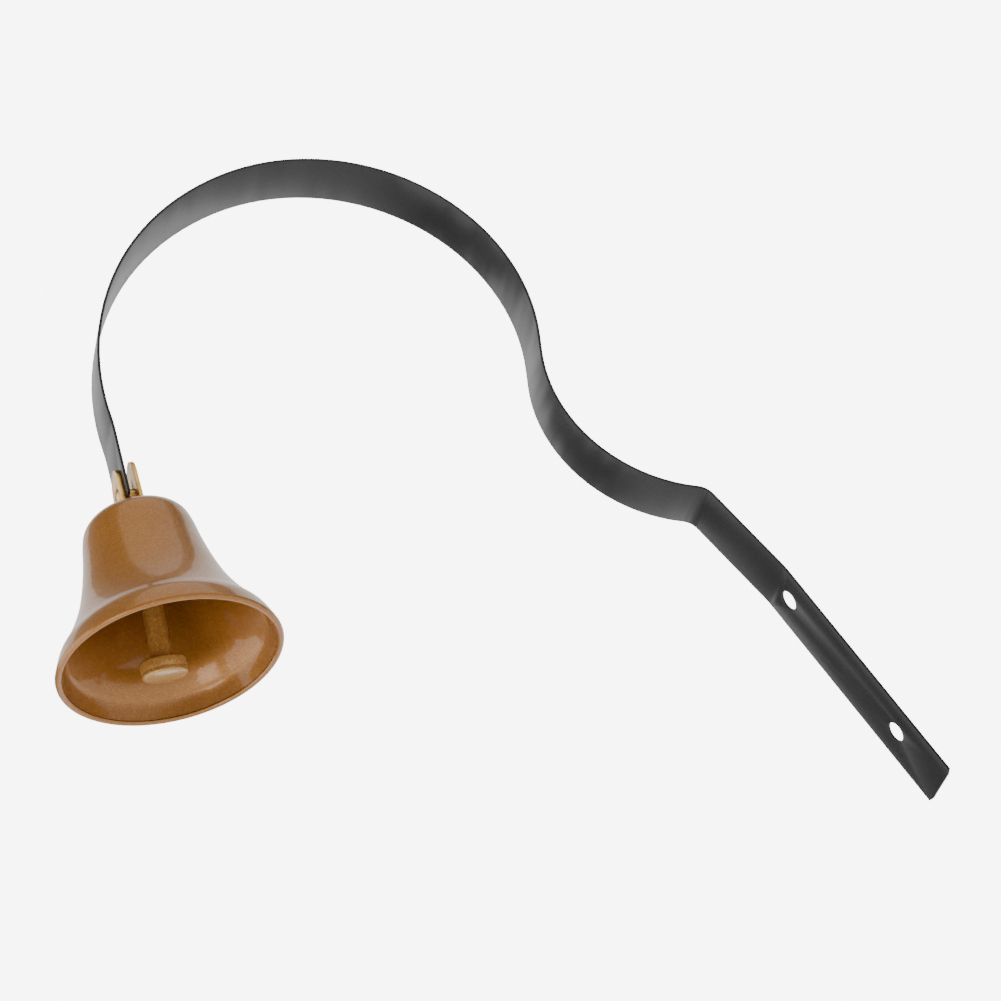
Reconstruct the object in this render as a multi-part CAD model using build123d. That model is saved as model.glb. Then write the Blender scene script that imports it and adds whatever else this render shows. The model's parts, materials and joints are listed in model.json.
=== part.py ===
from build123d import *
import math
import os

# A shop bell on a bent spring strap, in millimetres. The strap's leg lies flat against the wall.
# X runs across the strap, +Y points into the wall, +Z is up. The origin is midway between the
# two screw holes, on the leg's back face.

# Strip that the strap is bent from
strap_width = 15.9
strap_thickness = 0.65

# Leg: the flat stretch that is screwed to the wall
hole_spacing = 41.7
screw_hole_radius = 2.5
foot_below_hole = 17.0
foot_shear_rise = 0.45
foot_shear_run = 1.8
leg_above_hole = 4.0

# Bends along the strap: centreline radius and turn in degrees, with the straight runs between
kick_radius = 20.0
kick_turn = 5.96
neck_run = 24.63
knee_radius = 5.0
knee_turn = 47.1
knee_run = 0.13
hollow_radius = 39.0
hollow_turn = 83.28
rise_run = 5.0
arch_back_radius = 52.0
arch_back_turn = 117.35
arch_top_radius = 60.0
arch_top_turn = 38.78
arch_front_radius = 66.2
arch_front_turn = 37.99
set_radius = 40.0
set_turn = 5.4
tail_run = 13.9

# Tail: the strap's end between the shackle's ears
tail_below_pin = 3.6
tail_corner_radius = 1.0

# Pivot pin, riveted through the shackle's ears
pin_radius = 1.5
pin_hole_clearance = 0.08
pin_head_radius = 2.3
pin_head_height = 0.7

# Shackle: brass strip folded to a U, its base on the bell's crown
ear_radius = 5.2
ear_thickness = 0.9
ear_gap = 3.2
ear_strap_play = 0.1
ear_rise = 1.4
wall_ear_extra = 2.0
shackle_bend_radius = 0.2
pin_above_crown = 6.7
rest_swing = 3.7  # degrees the bell hangs out of the strap's line, mouth towards +X

# Bell: heights are measured down from the top of the crown
bell_height = 41.0
crown_flat_radius = 8.0
shoulder_radius = 13.5
shoulder_drop = 6.0
mouth_radius = 26.9
lip_round_height = 1.0
crown_wall = 1.9
side_wall = 1.7
# Flare from the shoulder to the mouth: share of the drop, share of the widening
flare = ((0.16, 0.074), (0.34, 0.185), (0.515, 0.33), (0.66, 0.505), (0.78, 0.69), (0.88, 0.875))
# Shoulder's round: share of the way out, share of the drop
shoulder_round = ((0.45, 0.13), (0.82, 0.47))

# Eye rivet that clamps shackle, crown and washer, and carries the clapper
shank_radius = 1.1
shank_head_radius = 1.35
shank_head_height = 0.5
washer_radius = 3.6
washer_thickness = 0.6
flange_radius = 2.4
flange_thickness = 0.8
eye_radius = 2.0
eye_hole_radius = 0.95
eye_thickness = 1.6
eye_below_flange = 1.9

# Link: a ring of round wire from the rivet's eye to the clapper's eye
link_radius = 2.6
link_wire_radius = 0.55
link_sag = 0.15

# Clapper: a tang with an eye, a round stem and a wider foot
tang_length = 2.4
stem_radius = 2.6
stem_length = 23.05
stem_top_round = 1.2
foot_radius = 5.5
foot_height = 4.0
foot_edge_round = 0.6
foot_groove_height = 0.9
foot_groove_depth = 0.25
clapper_swing = 16.0  # degrees the clapper hangs out of the bell's axis, foot towards -X

bends = (
    (foot_below_hole + hole_spacing + leg_above_hole, kick_radius, kick_turn),
    (neck_run, knee_radius, knee_turn),
    (knee_run, hollow_radius, -hollow_turn),
    (rise_run, arch_back_radius, arch_back_turn),
    (0.0, arch_top_radius, arch_top_turn),
    (0.0, arch_front_radius, arch_front_turn),
    (0.0, set_radius, -set_turn),
)


def heading(lean):
    """Direction out from the wall and up, for a strap that leans by this many degrees."""
    return Vector(math.sin(math.radians(lean)), math.cos(math.radians(lean)))


def square(lean):
    """Direction square to the strap, to the right of its heading."""
    return Vector(math.cos(math.radians(lean)), -math.sin(math.radians(lean)))


def strap_stretches():
    """Centreline points and leans of each run and bend, out from the wall and up from the origin."""
    place = Vector(strap_thickness / 2, -hole_spacing / 2 - foot_below_hole)
    lean = 0.0
    stretches = []
    for run, radius, turn in bends:
        if run > 0:
            stretches.append(((place, lean), (place + heading(lean) * run, lean)))
            place = place + heading(lean) * run
        centre = place + square(lean) * math.copysign(radius, turn)
        stations = []
        for share in (0.0, 0.5, 1.0):
            swung = lean + turn * share
            stations.append((centre - square(swung) * math.copysign(radius, turn), swung))
        stretches.append(tuple(stations))
        place, lean = stations[-1]
    tail = place + heading(lean) * (tail_run + tail_below_pin)
    stretches.append(((place, lean), (tail, lean)))
    return stretches


def strap_side(offset):
    """Edges of the strap's face at this distance from the centreline."""
    edges = []
    for stations in strap_stretches():
        points = [place + square(lean) * offset for place, lean in stations]
        if len(points) == 2:
            edges.append(Line(points[0], points[1]))
        else:
            edges.append(ThreePointArc(points[0], points[1], points[2]))
    return edges


tail_start, tail_lean = strap_stretches()[-1][0]
pin_on_strap = tail_start + heading(tail_lean) * tail_run
bell_lean = 180.0 - tail_lean
strap_to_pin_middle = ear_gap / 2 - strap_thickness / 2 - ear_strap_play
pin_middle = pin_on_strap + square(tail_lean) * strap_to_pin_middle

# The strap's profile is drawn out from the wall and up; the bell's parts stand on the pin's middle,
# with z up the bell's axis and y towards the wall
profile_plane = Plane(origin=(0, 0, 0), x_dir=(0, -1, 0), z_dir=(-1, 0, 0))
strap_up = (0, math.sin(math.radians(bell_lean)), math.cos(math.radians(bell_lean)))
strap_plane = Plane(origin=(0, -pin_middle.X, pin_middle.Y), x_dir=(1, 0, 0), z_dir=strap_up)
bell_seat = strap_plane.location * Rot(0, -rest_swing, 0)

crown_top = -pin_above_crown
mouth_drop = bell_height - lip_round_height
crown_under = crown_top - crown_wall
flange_top = crown_under - washer_thickness
eye_centre = flange_top - flange_thickness - eye_below_flange
link_top = eye_centre - link_sag
link_centre = link_top - link_radius
clapper_eye = link_centre - link_radius - link_sag
stem_top = clapper_eye - tang_length
foot_top = stem_top - stem_length

# The clapper is swung about the middle of the link it hangs in
clapper_seat = bell_seat * Pos(0, 0, link_centre) * Rot(0, clapper_swing, 0) * Pos(0, 0, -link_centre)


def disc(radius, low, high):
    """Round disc or rod along the bell's axis between two heights."""
    return Pos(0, 0, (low + high) / 2) * Cylinder(radius, high - low)


def cross_rod(radius, length, height, axis):
    """Round rod across the bell's axis, along X or Y, at a height."""
    turn = Rot(0, 90, 0) if axis == "x" else Rot(90, 0, 0)
    return Pos(0, 0, height) * turn * Cylinder(radius, length)


def make_spring_strap():
    """Flat strip bent to a question mark, drilled for two screws and the pivot pin."""
    half = strap_thickness / 2
    near = strap_side(half)
    far = strap_side(-half)
    foot = Line(near[0] @ 0, far[0] @ 0)
    end = Line(near[-1] @ 1, far[-1] @ 1)
    face = make_face(Curve() + near + far + [foot, end])
    strap = extrude(profile_plane * face, strap_width / 2, both=True)

    corner = strap_width / 2
    low = -hole_spacing / 2 - foot_below_hole
    for side in (-1, 1):
        shear = Polyline(
            (side * corner, low), (side * corner, low + foot_shear_rise),
            (side * (corner - foot_shear_run), low), close=True,
        )
        shear_face = make_face(Plane(origin=(0, 0, 0), x_dir=(1, 0, 0), z_dir=(0, -1, 0)) * shear)
        strap -= extrude(shear_face, 2 * strap_thickness, both=True)
    for height in (-hole_spacing / 2, hole_spacing / 2):
        strap -= Pos(0, 0, height) * Rot(90, 0, 0) * Cylinder(screw_hole_radius, 4 * strap_thickness)
    pin_hole = cross_rod(pin_radius + pin_hole_clearance, 4 * ear_gap, 0, "y")
    strap -= bell_seat * pin_hole

    tail_end = strap_stretches()[-1][1][0]
    corners = strap.edges().filter_by(
        lambda edge: (edge.center() - Vector(0, -tail_end.X, tail_end.Y)).length
        < strap_width / 2 + strap_thickness
        and abs(edge.length - strap_thickness) < 0.01
    )
    return fillet(corners, tail_corner_radius)


def make_shackle():
    """U of brass strip: two round-topped ears, the wall side's longer, and a base for the eye rivet."""
    outer = ear_gap / 2 + ear_thickness
    base_top = crown_top + ear_thickness
    wall_rise = ear_rise + wall_ear_extra
    block = Pos(0, 0, (crown_top + ear_rise) / 2) * Box(2 * ear_radius, 2 * outer, ear_rise - crown_top)
    block += cross_rod(ear_radius, 2 * outer, ear_rise, "y")
    block += Pos(0, outer / 2, wall_rise / 2) * Box(2 * ear_radius, outer, wall_rise)
    block += Pos(0, outer / 2, 0) * cross_rod(ear_radius, outer, wall_rise, "y")
    slot_top = ear_radius + wall_rise
    slot = Pos(0, 0, (base_top + slot_top) / 2) * Box(3 * ear_radius, ear_gap, slot_top - base_top)
    block -= slot
    low_edges = block.edges().filter_by(Axis.X).group_by(Axis.Z)
    block = fillet(low_edges[0], shackle_bend_radius + ear_thickness)
    inner_edges = block.edges().filter_by(Axis.X).filter_by(
        lambda edge: abs(edge.center().Z - base_top) < 0.01 and abs(abs(edge.center().Y) - ear_gap / 2) < 0.01
    )
    block = fillet(inner_edges, shackle_bend_radius)
    block -= cross_rod(pin_radius, 4 * outer, 0, "y")
    block -= disc(shank_radius, crown_top - 1, base_top + 1)
    return block


def make_pivot_rivet():
    """Brass pin with a low domed head outside each ear."""
    outer = ear_gap / 2 + ear_thickness
    rivet = cross_rod(pin_radius, 2 * outer, 0, "y")
    dome_radius = (pin_head_radius**2 + pin_head_height**2) / (2 * pin_head_height)
    for side in (-1, 1):
        ball = Pos(0, side * (outer + pin_head_height - dome_radius), 0) * Sphere(dome_radius)
        slab = Pos(0, side * (outer + pin_head_height / 2), 0) * Box(
            4 * pin_head_radius, pin_head_height, 4 * pin_head_radius
        )
        rivet += ball & slab
    return rivet


def bell_outline():
    """Points of the bell's outside, from the crown's flat to the lip: radius and height."""
    points = [Vector(crown_flat_radius, crown_top)]
    for out, down in shoulder_round:
        radius = crown_flat_radius + out * (shoulder_radius - crown_flat_radius)
        points.append(Vector(radius, crown_top - down * shoulder_drop))
    points.append(Vector(shoulder_radius, crown_top - shoulder_drop))
    for down, out in flare:
        radius = shoulder_radius + out * (mouth_radius - shoulder_radius)
        drop = shoulder_drop + down * (mouth_drop - shoulder_drop)
        points.append(Vector(radius, crown_top - drop))
    points.append(Vector(mouth_radius, crown_top - mouth_drop))
    return points


def make_bell_cup():
    """Cast bell: flat crown, round shoulder, waist and flared mouth with a rounded lip."""
    outside = bell_outline()
    inside = []
    for number in range(1, len(outside)):
        before = outside[number - 1]
        after = outside[min(number + 1, len(outside) - 1)]
        run = (after - before).normalized()
        inside.append(outside[number] + Vector(run.Y, -run.X) * side_wall)
    inside[-1] = outside[-1] - Vector(side_wall, 0)
    inner_flat = Vector(crown_flat_radius - side_wall, crown_under)
    shell = Spline(outside)
    cavity = Spline([inner_flat] + inside)
    lip_low = Vector(mouth_radius - side_wall / 2, crown_top - bell_height)
    lip = ThreePointArc(outside[-1], lip_low, inside[-1])
    section = Curve() + [
        Line((shank_radius, crown_top), outside[0]), shell, lip, cavity,
        Line(inner_flat, (shank_radius, crown_under)),
        Line((shank_radius, crown_under), (shank_radius, crown_top)),
    ]
    face = make_face(Plane.XZ * section)
    return revolve(face, Axis.Z)


def make_inner_washer():
    """Flat washer under the crown."""
    return disc(washer_radius, flange_top, crown_under) - disc(shank_radius, flange_top - 1, crown_under + 1)


def eye_plate(height, reach):
    """Flat eye across X at this height, with a neck that reaches up or down to its body."""
    plate = cross_rod(eye_radius, eye_thickness, height, "x")
    plate += Pos(0, 0, height + reach / 2) * Box(eye_thickness, 2 * eye_radius, abs(reach))
    return plate - cross_rod(eye_hole_radius, 2 * eye_thickness, height, "x")


def make_eye_rivet():
    """Rivet with a flange and an eye under the crown, headed over on the shackle's base."""
    base_top = crown_top + ear_thickness
    rivet = disc(shank_radius, flange_top - flange_thickness / 2, base_top)
    rivet += disc(flange_radius, flange_top - flange_thickness, flange_top)
    rivet += eye_plate(eye_centre, flange_top - flange_thickness / 2 - eye_centre)
    head = disc(shank_head_radius, base_top, base_top + shank_head_height)
    rivet += fillet(head.edges().group_by(Axis.Z)[-1], shank_head_height * 0.8)
    return rivet


def make_clapper_link():
    """Closed ring of round wire."""
    return Pos(0, 0, link_centre) * Rot(90, 0, 0) * Torus(link_radius, link_wire_radius)


def make_clapper():
    """Turned stem and foot in one piece, with a flat tang and eye at the top."""
    stem = disc(stem_radius, foot_top - foot_height / 2, stem_top)
    stem = fillet(stem.edges().group_by(Axis.Z)[-1], stem_top_round)
    foot = disc(foot_radius, foot_top - foot_height, foot_top)
    foot = fillet(foot.edges().filter_by(GeomType.CIRCLE), foot_edge_round)
    groove_low = foot_top - foot_height + foot_edge_round + foot_groove_height / 2
    groove = disc(foot_radius + 1, groove_low, groove_low + foot_groove_height / 2)
    groove -= disc(foot_radius - foot_groove_depth, groove_low - 1, groove_low + foot_groove_height + 1)
    tang = eye_plate(clapper_eye, stem_top - stem_top_round - clapper_eye)
    return stem + (foot - groove) + tang


os.makedirs("parts", exist_ok=True)
export_step(make_spring_strap(), "parts/spring_strap.step")
export_step(bell_seat * make_shackle(), "parts/shackle.step")
export_step(bell_seat * make_pivot_rivet(), "parts/pivot_rivet.step")
export_step(bell_seat * make_bell_cup(), "parts/bell_cup.step")
export_step(bell_seat * make_inner_washer(), "parts/inner_washer.step")
export_step(bell_seat * make_eye_rivet(), "parts/eye_rivet.step")
export_step(bell_seat * make_clapper_link(), "parts/clapper_link.step")
export_step(clapper_seat * make_clapper(), "parts/clapper.step")

print("pin middle", tuple(round(v, 3) for v in strap_plane.origin), "bell lean", round(bell_lean, 3))
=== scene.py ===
import bpy
import bmesh
import json
import math
from mathutils import Matrix, Vector


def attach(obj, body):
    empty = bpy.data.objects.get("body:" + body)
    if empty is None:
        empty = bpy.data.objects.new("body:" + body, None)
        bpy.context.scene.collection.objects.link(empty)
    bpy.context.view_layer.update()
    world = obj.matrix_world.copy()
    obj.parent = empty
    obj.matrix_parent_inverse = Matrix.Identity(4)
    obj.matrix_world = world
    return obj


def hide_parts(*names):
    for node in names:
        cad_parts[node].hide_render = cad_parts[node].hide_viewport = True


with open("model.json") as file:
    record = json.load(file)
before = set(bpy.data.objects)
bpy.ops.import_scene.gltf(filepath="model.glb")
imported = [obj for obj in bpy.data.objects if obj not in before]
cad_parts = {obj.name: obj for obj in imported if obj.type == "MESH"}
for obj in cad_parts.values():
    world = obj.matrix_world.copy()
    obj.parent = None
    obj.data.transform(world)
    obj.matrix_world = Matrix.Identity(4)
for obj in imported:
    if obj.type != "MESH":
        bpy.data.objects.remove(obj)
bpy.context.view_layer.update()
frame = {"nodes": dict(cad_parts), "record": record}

# ---------------------------------------------------------------------------
# Spring strap: sheared spring-steel strip, bent in seven stages and painted
# satin black after drilling. Sheared edges keep a small rounded burr. The
# helpers for copying a node, bevelling it and building materials start here.
# ---------------------------------------------------------------------------
MM = 0.001
MERGE_GAP = 0.00001
FLAT_WITHIN = math.radians(0.5)
EDGE_SEGMENTS = 3
STRAP_EDGE = 0.12 * MM


class Val:
    """A shader socket that takes arithmetic."""

    def __init__(self, mat, socket):
        self.mat = mat
        self.socket = socket

    def _math(self, operation, *values):
        return self.mat.node("ShaderNodeMath", {"operation": operation}, dict(enumerate(values)))

    def __add__(self, other):
        return self._math("ADD", self, other)

    def __radd__(self, other):
        return self._math("ADD", other, self)

    def __rsub__(self, other):
        return self._math("SUBTRACT", other, self)

    def __mul__(self, other):
        return self._math("MULTIPLY", self, other)

    def ramp(self, low, high):
        """0 below the low value, 1 above the high one, smooth between them."""
        return self.mat.node(
            "ShaderNodeMapRange", {"clamp": True, "interpolation_type": "SMOOTHSTEP"},
            {"Value": self, "From Min": low, "From Max": high},
        )


class Paint:
    """One procedural material on a Principled shader."""

    # A colour Mix node's sockets, by number, because its names repeat
    MIX_AMOUNT, MIX_FIRST, MIX_SECOND, MIX_RESULT = 0, 6, 7, 2

    def __init__(self, name):
        self.material = bpy.data.materials.new(name)
        self.material.use_nodes = True
        self.tree = self.material.node_tree
        self.shader = self.tree.nodes["Principled BSDF"]
        self.place = self.node("ShaderNodeTexCoord", {}, {}, "Object")

    def node(self, kind, settings, values, output=0):
        made = self.tree.nodes.new(kind)
        for key, value in settings.items():
            setattr(made, key, value)
        for key, value in values.items():
            if isinstance(value, Val):
                self.tree.links.new(value.socket, made.inputs[key])
            else:
                made.inputs[key].default_value = value
        return Val(self, made.outputs[output])

    def noise(self, per_metre, detail=4.0, rough=0.5, at=None):
        return self.node(
            "ShaderNodeTexNoise", {},
            {"Vector": at or self.place, "Scale": per_metre, "Detail": detail, "Roughness": rough},
        )

    def cells(self, per_metre):
        """A random colour for each small cell."""
        values = {"Vector": self.place, "Scale": per_metre}
        return self.node("ShaderNodeTexVoronoi", {}, values, "Color")

    def part(self, vector, axis):
        return self.node("ShaderNodeSeparateXYZ", {}, {"Vector": vector}, axis)

    def mix(self, amount, first, second):
        """A colour between two, each a link or red, green and blue."""
        ends = [(*end, 1.0) if isinstance(end, tuple) else end for end in (first, second)]
        values = {self.MIX_AMOUNT: amount, self.MIX_FIRST: ends[0], self.MIX_SECOND: ends[1]}
        return self.node("ShaderNodeMix", {"data_type": "RGBA"}, values, self.MIX_RESULT)

    def bump(self, height, strength, distance, over=None):
        values = {"Height": height, "Strength": strength, "Distance": distance}
        if over is not None:
            values["Normal"] = over
        return self.node("ShaderNodeBump", {}, values)

    def set(self, **values):
        for key, value in values.items():
            socket = self.shader.inputs[key.replace("_", " ")]
            if isinstance(value, Val):
                self.tree.links.new(value.socket, socket)
            elif isinstance(value, tuple):
                socket.default_value = (*value, 1.0)
            else:
                socket.default_value = value


def bevelled_copy(node, width, paint, angle=35.0):
    """The node's own shape with its sharp edges rounded."""
    source = frame["nodes"][node]
    mesh = source.data.copy()
    mesh.name = node + "_finished"
    mesh.materials.clear()
    body = bmesh.new()
    body.from_mesh(mesh)
    bmesh.ops.remove_doubles(body, verts=body.verts, dist=MERGE_GAP)
    bmesh.ops.dissolve_limit(
        body, angle_limit=FLAT_WITHIN, verts=body.verts, edges=body.edges,
    )
    body.to_mesh(mesh)
    body.free()
    made = bpy.data.objects.new(node + "_finished", mesh)
    bpy.context.scene.collection.objects.link(made)
    mesh.materials.append(paint.material)
    for face in mesh.polygons:
        face.use_smooth = True
    bevel = made.modifiers.new("edges", "BEVEL")
    bevel.width = width
    bevel.segments = EDGE_SEGMENTS
    bevel.limit_method = "ANGLE"
    bevel.angle_limit = math.radians(angle)
    bevel.harden_normals = True
    return made


strap_paint = Paint("strap_satin_black")
orange_peel = strap_paint.noise(2600.0, 3.0)
cloud = strap_paint.noise(55.0, 5.0)
pits = strap_paint.noise(9000.0, 2.0, 0.6)
grime = cloud.ramp(0.35, 0.75)
strap_paint.set(
    Base_Color=strap_paint.mix(grime, (0.004, 0.004, 0.0044), (0.0075, 0.0075, 0.0072)),
    Roughness=0.26 + cloud * 0.1 + pits * 0.06,
    Specular_IOR_Level=0.28,
    Coat_Weight=0.15,
    Coat_Roughness=0.22,
    Normal=strap_paint.bump(orange_peel * 0.7 + pits * 0.3, 0.25, 0.00004),
)
strap = bevelled_copy("spring_strap", STRAP_EDGE, strap_paint)
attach(strap, "strap")
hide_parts("spring_strap")

# ---------------------------------------------------------------------------
# Bell: spun and cast shell with a flat crown, round shoulder, flared mouth and
# a turned lip, sprayed with gold-brown metallic flake under clear lacquer.
# It stands on the pivot pin's middle, z up its axis and y towards the wall.
# ---------------------------------------------------------------------------
TURN_STEPS = 256
SEAM_GAP = 0.000001

hinges = {joint["name"]: joint for joint in frame["record"]["behaviour"]["joints"]}
across = Vector(hinges["link_swing"]["axis"]).normalized()
to_wall = Vector(hinges["bell_swing"]["axis"]).normalized()
turned_to_bell = Matrix((across, to_wall, across.cross(to_wall))).transposed().to_4x4()
bell_seat = Matrix.Translation(hinges["bell_swing"]["pos_m"]) @ turned_to_bell


def smooth_line(points, steps):
    """Catmull-Rom curve through radius and height pairs."""
    ends = [points[0]] + list(points) + [points[-1]]
    line = []
    for number in range(1, len(ends) - 2):
        before, start, stop, after = ends[number - 1:number + 3]
        for step in range(steps):
            t = step / steps
            weights = (
                -0.5 * t + t * t - 0.5 * t ** 3,
                1 - 2.5 * t * t + 1.5 * t ** 3,
                0.5 * t + 2 * t * t - 1.5 * t ** 3,
                -0.5 * t * t + 0.5 * t ** 3,
            )
            line.append(tuple(
                sum(w * p[axis] for w, p in zip(weights, (before, start, stop, after)))
                for axis in (0, 1)
            ))
    line.append(tuple(points[-1]))
    return line


def turned(name, profile, paint):
    """Solid of revolution about z from a closed line of radius and height pairs in millimetres."""
    mesh = bpy.data.meshes.new(name)
    verts = []
    faces = []
    rows = len(profile)
    for number in range(TURN_STEPS):
        angle = 2 * math.pi * number / TURN_STEPS
        for radius, height in profile:
            verts.append((
                radius * math.cos(angle) * MM, radius * math.sin(angle) * MM, height * MM,
            ))
    for number in range(TURN_STEPS):
        after = (number + 1) % TURN_STEPS
        for row in range(rows):
            below = (row + 1) % rows
            faces.append((
                number * rows + row, number * rows + below,
                after * rows + below, after * rows + row,
            ))
    mesh.from_pydata(verts, [], faces)
    body = bmesh.new()
    body.from_mesh(mesh)
    bmesh.ops.remove_doubles(body, verts=body.verts, dist=SEAM_GAP)
    bmesh.ops.recalc_face_normals(body, faces=body.faces)
    body.to_mesh(mesh)
    body.free()
    mesh.materials.append(paint.material)
    for face in mesh.polygons:
        face.use_smooth = True
    made = bpy.data.objects.new(name, mesh)
    bpy.context.scene.collection.objects.link(made)
    return made


CROWN_TOP = -6.7
CROWN_FLAT = 8.0
SHOULDER_RADIUS = 13.5
SHOULDER_DROP = 6.0
BELL_HEIGHT = 41.0
LIP_ROUND = 1.0
MOUTH_RADIUS = 26.85
SIDE_WALL = 1.7
CROWN_WALL = 1.9
SHANK_RADIUS = 1.1
SPAN_STEPS = 10
LIP_STEPS = 12
LIP_FLATTENED = 0.95
LIP_STEP_DROP = 35.6
LIP_STEP_RUN = 0.5
LIP_STEP_DEPTH = 0.28
INNER_FLAT = 5.4
INNER_CORNER = 0.1
CROWN_RINGS = (0.6, 0.96)
# Shoulder: shares of the way out and of the drop. Flare: shares of the drop and of the widening
SHOULDER_ROUND = ((0.0, 0.0), (0.45, 0.13), (0.82, 0.47))
FLARE = ((0.0, 0.0), (0.16, 0.074), (0.34, 0.185), (0.515, 0.33), (0.66, 0.505), (0.78, 0.69),
         (0.88, 0.875), (1.0, 1.0))

mouth_drop = BELL_HEIGHT - LIP_ROUND
outside = [
    (CROWN_FLAT + out * (SHOULDER_RADIUS - CROWN_FLAT), down * SHOULDER_DROP)
    for out, down in SHOULDER_ROUND
]
outside += [
    (SHOULDER_RADIUS + out * (MOUTH_RADIUS - SHOULDER_RADIUS),
     SHOULDER_DROP + down * (mouth_drop - SHOULDER_DROP))
    for down, out in FLARE
]
outer_line = smooth_line(outside, SPAN_STEPS)
inner_line = []
for number, (radius, drop) in enumerate(outer_line):
    before = Vector(outer_line[max(number - 1, 0)])
    after = Vector(outer_line[min(number + 1, len(outer_line) - 1)])
    run = (after - before).normalized()
    inner_line.append((radius - run.y * SIDE_WALL, drop + run.x * SIDE_WALL))
inner_line = [point for point in inner_line if point[1] > CROWN_WALL + INNER_CORNER]
# The lip is round, with a shallow turned step inside the mouth above it
lip_line = []
for step in range(1, LIP_STEPS):
    angle = math.pi * step / LIP_STEPS
    lip_line.append((
        MOUTH_RADIUS - SIDE_WALL / 2 + SIDE_WALL / 2 * math.cos(angle),
        mouth_drop + LIP_FLATTENED * LIP_ROUND * math.sin(angle),
    ))
stepped = []
for radius, drop in inner_line:
    recess = LIP_STEP_DEPTH * max(0.0, min(1.0, (drop - LIP_STEP_DROP) / LIP_STEP_RUN))
    stepped.append((radius + recess, drop))
profile = [(SHANK_RADIUS, 0.0)] + [(CROWN_FLAT * share, 0.0) for share in CROWN_RINGS]
profile += outer_line[1:] + lip_line + stepped[::-1]
profile += [(INNER_FLAT, CROWN_WALL), (SHANK_RADIUS, CROWN_WALL)]
profile = [(radius, CROWN_TOP - drop) for radius, drop in profile]


def flake_paint(name, deep, gold, pale):
    """Gold-brown flake enamel under clear lacquer."""
    paint = Paint(name)
    flake = paint.cells(5200.0)
    flake_red = paint.part(flake, 0)
    flake_green = paint.part(flake, 1)
    fine = paint.cells(9500.0)
    fine_red = paint.part(fine, 0)
    sag = paint.noise(120.0, 3.0)
    mottle = paint.noise(620.0, 4.0, 0.6)
    bright = flake_red.ramp(0.7, 1.0) * 0.22 + fine_red.ramp(0.8, 1.0) * 0.16
    under = paint.mix(mottle.ramp(0.25, 0.85), deep, gold)
    tilt = paint.bump(flake_green, 0.35, 0.00003)
    waves = paint.bump(sag, 0.25, 0.00012, tilt)
    paint.set(
        Base_Color=paint.mix(bright, under, pale),
        Metallic=0.45,
        Roughness=0.42 - flake_red * 0.14,
        Coat_Weight=0.65,
        Coat_Roughness=0.06,
        Coat_IOR=1.42,
        Normal=waves,
    )
    return paint


BELL_DEEP = (0.24, 0.086, 0.006)
BELL_GOLD = (0.275, 0.102, 0.008)
BELL_FLAKE = (0.6, 0.31, 0.05)

bell_paint = flake_paint("bell_gold_brown", BELL_DEEP, BELL_GOLD, BELL_FLAKE)
bell = turned("bell_shell", profile, bell_paint)
bell.data.transform(bell_seat)
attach(bell, "bell")
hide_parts("bell_cup")

# ---------------------------------------------------------------------------
# Shackle and its pivot rivet: brass strip folded to a U over the strap's tail,
# polished, with a brass pin headed over outside both ears. The eye rivet that
# holds the shackle to the crown is brass too.
# ---------------------------------------------------------------------------
SHACKLE_EDGE = 0.16 * MM
PIVOT_EDGE = 0.06 * MM
EYE_EDGE = 0.1 * MM


def brass_finish(name, rough, tint):
    paint = Paint(name)
    stretched = paint.node(
        "ShaderNodeMapping", {}, {"Vector": paint.place, "Scale": (1.0, 1.0, 0.06)},
    )
    brush = paint.noise(9000.0, 3.0, 0.6, stretched)
    cloud = paint.noise(420.0, 4.0)
    paint.set(
        Base_Color=paint.mix(cloud.ramp(0.35, 0.8), tint, (0.5, 0.24, 0.06)),
        Metallic=1.0,
        Roughness=rough + brush * 0.12 + cloud * 0.08,
        Normal=paint.bump(brush * 0.6 + cloud * 0.4, 0.2, 0.00003),
    )
    return paint


brass = brass_finish("brass_polished", 0.16, (0.83, 0.5, 0.12))
shackle = bevelled_copy("shackle", SHACKLE_EDGE, brass)
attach(shackle, "bell")
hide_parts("shackle")

pin_brass = brass_finish("brass_pin", 0.2, (0.7, 0.42, 0.16))
pivot = bevelled_copy("pivot_rivet", PIVOT_EDGE, pin_brass)
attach(pivot, "bell")
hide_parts("pivot_rivet")

eye = bevelled_copy("eye_rivet", EYE_EDGE, pin_brass)
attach(eye, "bell")
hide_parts("eye_rivet")

# ---------------------------------------------------------------------------
# Washer under the crown and the link that carries the clapper: dull zinc-
# plated steel, stamped and formed from round wire.
# ---------------------------------------------------------------------------
WASHER_EDGE = 0.08 * MM
LINK_EDGE = 0.01 * MM
LINK_SHARPEST = 60.0

zinc = Paint("zinc_dull")
spangle = zinc.part(zinc.cells(1400.0), 0)
zinc_grain = zinc.noise(5200.0, 3.0)
zinc.set(
    Base_Color=zinc.mix(spangle, (0.42, 0.42, 0.4), (0.62, 0.62, 0.6)),
    Metallic=1.0,
    Roughness=0.3 + spangle * 0.12 + zinc_grain * 0.08,
    Normal=zinc.bump(zinc_grain, 0.25, 0.00003),
)
washer = bevelled_copy("inner_washer", WASHER_EDGE, zinc)
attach(washer, "bell")
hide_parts("inner_washer")

link = bevelled_copy("clapper_link", LINK_EDGE, zinc, LINK_SHARPEST)
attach(link, "link")
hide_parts("clapper_link")

# ---------------------------------------------------------------------------
# Clapper: turned stem and foot with a groove above the foot's lower edge and a
# flat eyed tang, in flake paint a little paler and brassier than the bell's.
# It hangs from the link, foot towards -X of the bell's axis.
# ---------------------------------------------------------------------------
CLAPPER_EDGE = 0.1 * MM
CLAPPER_DEEP = (0.3, 0.14, 0.025)
CLAPPER_GOLD = (0.4, 0.2, 0.04)
CLAPPER_FLAKE = (1.0, 0.74, 0.28)

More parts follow.
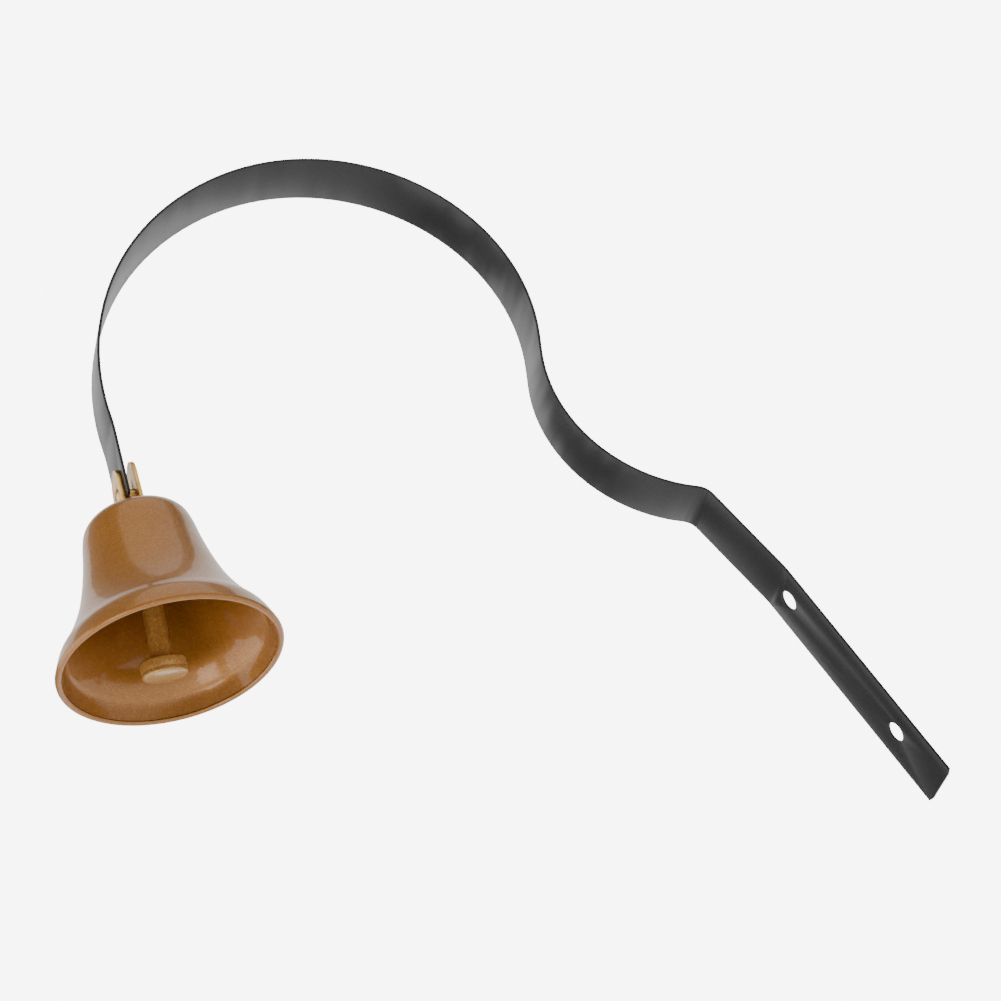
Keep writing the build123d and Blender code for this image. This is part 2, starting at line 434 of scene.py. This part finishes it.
clapper_paint = flake_paint("clapper_gold_brown", CLAPPER_DEEP, CLAPPER_GOLD, CLAPPER_FLAKE)
clapper = bevelled_copy("clapper", CLAPPER_EDGE, clapper_paint)
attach(clapper, "clapper")
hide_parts("clapper")

# ---------------------------------------------------------------------------
# Studio: a plain pale floor well below the bell, that glows a little, large soft
# lights, and a surround that is brighter to look at than the light it gives.
# The camera stands low on the +X side.
# ---------------------------------------------------------------------------
FLOOR_HEIGHT = -0.45
FLOOR_REACH = 3.0
FLOOR_GLOW = 0.45
SURROUND_LIGHT = 0.28
SURROUND_SEEN = 7.5

floor_mesh = bpy.data.meshes.new("floor")
corners = [
    (side_x * FLOOR_REACH, side_y * FLOOR_REACH, FLOOR_HEIGHT)
    for side_x, side_y in ((-1, -1), (1, -1), (1, 1), (-1, 1))
]
floor_mesh.from_pydata(corners, [], [(0, 1, 2, 3)])
floor = bpy.data.objects.new("floor", floor_mesh)
bpy.context.scene.collection.objects.link(floor)
floor_paint = Paint("floor_pale")
floor_cloud = floor_paint.noise(6.0, 4.0)
floor_paint.set(
    Base_Color=floor_paint.mix(floor_cloud, (0.82, 0.82, 0.81), (0.87, 0.87, 0.86)),
    Roughness=0.7 + floor_cloud * 0.15,
    Emission_Color=(1.0, 1.0, 1.0),
    Emission_Strength=FLOOR_GLOW,
)
floor_mesh.materials.append(floor_paint.material)

surround = bpy.data.worlds.new("surround")
surround.use_nodes = True
surround_tree = surround.node_tree
glow = surround_tree.nodes["Background"]
glow.inputs["Color"].default_value = (1.0, 1.0, 1.0, 1.0)
seen = surround_tree.nodes.new("ShaderNodeLightPath")
brightness = surround_tree.nodes.new("ShaderNodeMapRange")
brightness.inputs["To Min"].default_value = SURROUND_LIGHT
brightness.inputs["To Max"].default_value = SURROUND_SEEN
surround_tree.links.new(seen.outputs["Is Camera Ray"], brightness.inputs["Value"])
surround_tree.links.new(brightness.outputs["Result"], glow.inputs["Strength"])
bpy.context.scene.world = surround


def soft_light(name, place, aim, size, power, mirrored=True):
    """A soft panel. One that isn't mirrored lights the object but leaves no highlight."""
    lamp = bpy.data.lights.new(name, "AREA")
    lamp.shape = "RECTANGLE"
    lamp.size, lamp.size_y = size
    lamp.energy = power
    made = bpy.data.objects.new(name, lamp)
    made.location = place
    made.rotation_euler = (Vector(aim) - Vector(place)).to_track_quat("-Z", "Y").to_euler()
    made.visible_glossy = mirrored
    bpy.context.scene.collection.objects.link(made)


soft_light("light_key", (0.9, -0.7, 1.0), (0.0, -0.08, 0.08), (1.6, 1.6), 20.0, mirrored=False)
soft_light("light_front", (0.55, -1.1, -0.35), (0.0, -0.1, 0.08), (0.45, 0.7), 4.5)
soft_light("light_right", (0.62, 0.42, 0.78), (0.0, -0.1, 0.08), (1.5, 1.7), 7.5)
soft_light("light_back", (-1.0, 0.45, 0.5), (0.0, -0.1, 0.08), (2.2, 2.2), 17.0)
soft_light("light_tail", (-0.35, -1.25, 0.35), (0.0, -0.1, 0.1), (1.2, 1.8), 16.0)

CAMERA_PLACE = Vector((0.72996, -0.43486, -0.21997))
CAMERA_AIM = Vector((0.0163, -0.05436, 0.07246))
CAMERA_ROLL = math.radians(-38.187)
CAMERA_LENS = 131.06
CAMERA_SENSOR = 36.0

camera_data = bpy.data.cameras.new("camera")
camera_data.lens = CAMERA_LENS
camera_data.sensor_width = CAMERA_SENSOR
camera = bpy.data.objects.new("camera", camera_data)
camera.location = CAMERA_PLACE
facing = (CAMERA_AIM - CAMERA_PLACE).to_track_quat("-Z", "Y")
roll = Matrix.Rotation(CAMERA_ROLL, 3, "Z").to_quaternion()
camera.rotation_mode = "QUATERNION"
camera.rotation_quaternion = facing @ roll
bpy.context.scene.collection.objects.link(camera)
bpy.context.scene.camera = camera
